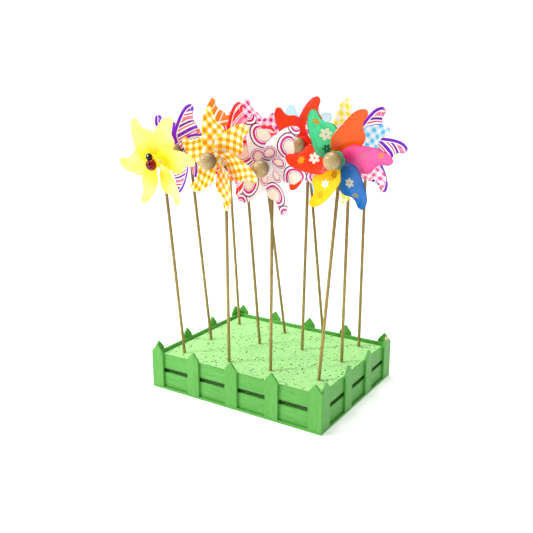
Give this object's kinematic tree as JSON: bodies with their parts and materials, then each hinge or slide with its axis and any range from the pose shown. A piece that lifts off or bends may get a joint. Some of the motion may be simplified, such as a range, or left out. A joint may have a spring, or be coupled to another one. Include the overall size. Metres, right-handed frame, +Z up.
{
  "type": "pinwheel display",
  "caption": "Picket-fence tray with a foam block that holds stick-mounted pinwheels whose six-petal film wheels spin on their pins and whose sticks pull out.",
  "frame": {"origin": "centre of the tray's underside, on the face that it rests on", "axes": "+X along the tray's long side, to the right as seen from the front; +Z up; the pinwheels face -Y"},
  "size_m": [0.3544, 0.217, 0.3706],
  "materials": {
    "painted_wood": "light-green satin paint over fine grain",
    "flower_foam": "pale green foam with small dark pits",
    "bamboo": "plain bamboo dowel",
    "pin_steel": "bright steel nail",
    "ball_wood": "turned wood, lightly polished",
    "ladybird_paint": "gloss red and black paint on wood",
    "film_1": "yellow film",
    "film_2": "purple striped film",
    "film_3": "orange gingham film",
    "film_4": "orange striped film",
    "film_5": "red and pink striped film",
    "film_6": "ringed film",
    "film_7": "magenta gingham film",
    "film_8": "red film",
    "film_9": "pale cyan film",
    "film_10": "six-colour film",
    "film_11": "pastel gingham film",
    "film_12": "violet striped film"
  },
  "bodies": {
    "tray": {"base_board": "painted_wood", "foam_block": "flower_foam", "front_rails": "painted_wood", "back_rails": "painted_wood", "left_rails": "painted_wood", "right_rails": "painted_wood", "front_pickets": "painted_wood", "back_pickets": "painted_wood", "left_pickets": "painted_wood", "right_pickets": "painted_wood"},
    "pinwheel_1": {"stick_1": "bamboo", "pin_1": "pin_steel", "cap_1": "ladybird_paint"},
    "wheel_1": {"vanes_1": "film_1"},
    "pinwheel_2": {"stick_2": "bamboo", "pin_2": "pin_steel", "cap_2": "ball_wood"},
    "wheel_2": {"vanes_2": "film_2"},
    "pinwheel_3": {"stick_3": "bamboo", "pin_3": "pin_steel", "cap_3": "ball_wood"},
    "wheel_3": {"vanes_3": "film_3"},
    "pinwheel_4": {"stick_4": "bamboo", "pin_4": "pin_steel", "cap_4": "ball_wood"},
    "wheel_4": {"vanes_4": "film_4"},
    "pinwheel_5": {"stick_5": "bamboo", "pin_5": "pin_steel", "cap_5": "ball_wood"},
    "wheel_5": {"vanes_5": "film_5"},
    "pinwheel_6": {"stick_6": "bamboo", "pin_6": "pin_steel", "cap_6": "ball_wood"},
    "wheel_6": {"vanes_6": "film_6"},
    "pinwheel_7": {"stick_7": "bamboo", "pin_7": "pin_steel", "cap_7": "ball_wood"},
    "wheel_7": {"vanes_7": "film_7"},
    "pinwheel_8": {"stick_8": "bamboo", "pin_8": "pin_steel", "cap_8": "ball_wood"},
    "wheel_8": {"vanes_8": "film_8"},
    "pinwheel_9": {"stick_9": "bamboo", "pin_9": "pin_steel", "cap_9": "ball_wood"},
    "wheel_9": {"vanes_9": "film_9"},
    "pinwheel_10": {"stick_10": "bamboo", "pin_10": "pin_steel", "cap_10": "ball_wood"},
    "wheel_10": {"vanes_10": "film_10"},
    "pinwheel_11": {"stick_11": "bamboo", "pin_11": "pin_steel", "cap_11": "ball_wood"},
    "wheel_11": {"vanes_11": "film_11"},
    "pinwheel_12": {"stick_12": "bamboo", "pin_12": "pin_steel", "cap_12": "ball_wood"},
    "wheel_12": {"vanes_12": "film_12"}
  },
  "joints": [
    {"name": "pull_out_1", "type": "slide", "parent": "tray", "child": "pinwheel_1", "axis": [-0.0523, -0.0523, 0.9973], "range_m": [0, 0.0395]},
    {"name": "spin_1", "type": "hinge", "parent": "pinwheel_1", "child": "wheel_1", "pos_m": [-0.1087, -0.08271, 0.29481], "axis": [0.0027, -0.9986, -0.0523], "continuous": true},
    {"name": "pull_out_2", "type": "slide", "parent": "tray", "child": "pinwheel_2", "axis": [-0.0784, -0.0393, 0.9961], "range_m": [0, 0.0295]},
    {"name": "spin_2", "type": "hinge", "parent": "pinwheel_2", "child": "wheel_2", "pos_m": [-0.11508, -0.02281, 0.30449], "axis": [0.0031, -0.9992, -0.0391], "continuous": true},
    {"name": "pull_out_3", "type": "slide", "parent": "tray", "child": "pinwheel_3", "axis": [0.0349, -0.0523, 0.998], "range_m": [0, 0.033]},
    {"name": "spin_3", "type": "hinge", "parent": "pinwheel_3", "child": "wheel_3", "pos_m": [-0.01847, -0.07705, 0.30149], "axis": [-0.0976, -0.994, -0.0487], "continuous": true},
    {"name": "pull_out_4", "type": "slide", "parent": "tray", "child": "pinwheel_4", "axis": [-0.0784, 0.0218, 0.9967], "range_m": [0, 0.022]},
    {"name": "spin_4", "type": "hinge", "parent": "pinwheel_4", "child": "wheel_4", "pos_m": [-0.11868, 0.06689, 0.3121], "axis": [-0.0017, -0.9998, 0.0217], "continuous": true},
    {"name": "pull_out_5", "type": "slide", "parent": "tray", "child": "pinwheel_5", "axis": [-0.0523, -0.048, 0.9975], "range_m": [0, 0.029]},
    {"name": "spin_5", "type": "hinge", "parent": "pinwheel_5", "child": "wheel_5", "pos_m": [-0.04275, -0.00212, 0.30534], "axis": [0.0025, -0.9988, -0.0479], "continuous": true},
    {"name": "pull_out_6", "type": "slide", "parent": "tray", "child": "pinwheel_6", "axis": [-0.0131, 0.0349, 0.9993], "range_m": [0, 0.0395]},
    {"name": "spin_6", "type": "hinge", "parent": "pinwheel_6", "child": "wheel_6", "pos_m": [0.0287, -0.05019, 0.29532], "axis": [0.0877, -0.9908, -0.1035], "continuous": true},
    {"name": "pull_out_7", "type": "slide", "parent": "tray", "child": "pinwheel_7", "axis": [-0.0869, -0.0828, 0.9928], "range_m": [0, 0.0215]},
    {"name": "spin_7", "type": "hinge", "parent": "pinwheel_7", "child": "wheel_7", "pos_m": [-0.04549, 0.0436, 0.31155], "axis": [0.0072, -0.9966, -0.0825], "continuous": true},
    {"name": "pull_out_8", "type": "slide", "parent": "tray", "child": "pinwheel_8", "axis": [0.0044, 0.0305, 0.9995], "range_m": [0, 0.022]},
    {"name": "spin_8", "type": "hinge", "parent": "pinwheel_8", "child": "wheel_8", "pos_m": [0.03218, 0.03025, 0.31287], "axis": [0.0001, -0.9995, 0.0305], "continuous": true},
    {"name": "pull_out_9", "type": "slide", "parent": "tray", "child": "pinwheel_9", "axis": [-0.1045, -0.0087, 0.9945], "range_m": [0, 0.0295]},
    {"name": "spin_9", "type": "hinge", "parent": "pinwheel_9", "child": "wheel_9", "pos_m": [0.00606, 0.07571, 0.30405], "axis": [0.0009, -1, -0.0087], "continuous": true},
    {"name": "pull_out_10", "type": "slide", "parent": "tray", "child": "pinwheel_10", "axis": [0.0785, 0.0044, 0.9969], "range_m": [0, 0.029]},
    {"name": "spin_10", "type": "hinge", "parent": "pinwheel_10", "child": "wheel_10", "pos_m": [0.11613, -0.05085, 0.30519], "axis": [0.1477, -0.989, -0.0073], "continuous": true},
    {"name": "pull_out_11", "type": "slide", "parent": "tray", "child": "pinwheel_11", "axis": [0.0349, -0.0523, 0.998], "range_m": [0, 0.025]},
    {"name": "spin_11", "type": "hinge", "parent": "pinwheel_11", "child": "wheel_11", "pos_m": [0.10281, -0.00047, 0.30947], "axis": [-0.0018, -0.9986, -0.0523], "continuous": true},
    {"name": "pull_out_12", "type": "slide", "parent": "tray", "child": "pinwheel_12", "axis": [-0.0174, 0.0436, 0.9989], "range_m": [0, 0.0315]},
    {"name": "spin_12", "type": "hinge", "parent": "pinwheel_12", "child": "wheel_12", "pos_m": [0.08496, 0.08586, 0.30321], "axis": [-0.0008, -0.999, 0.0436], "continuous": true}
  ]
}
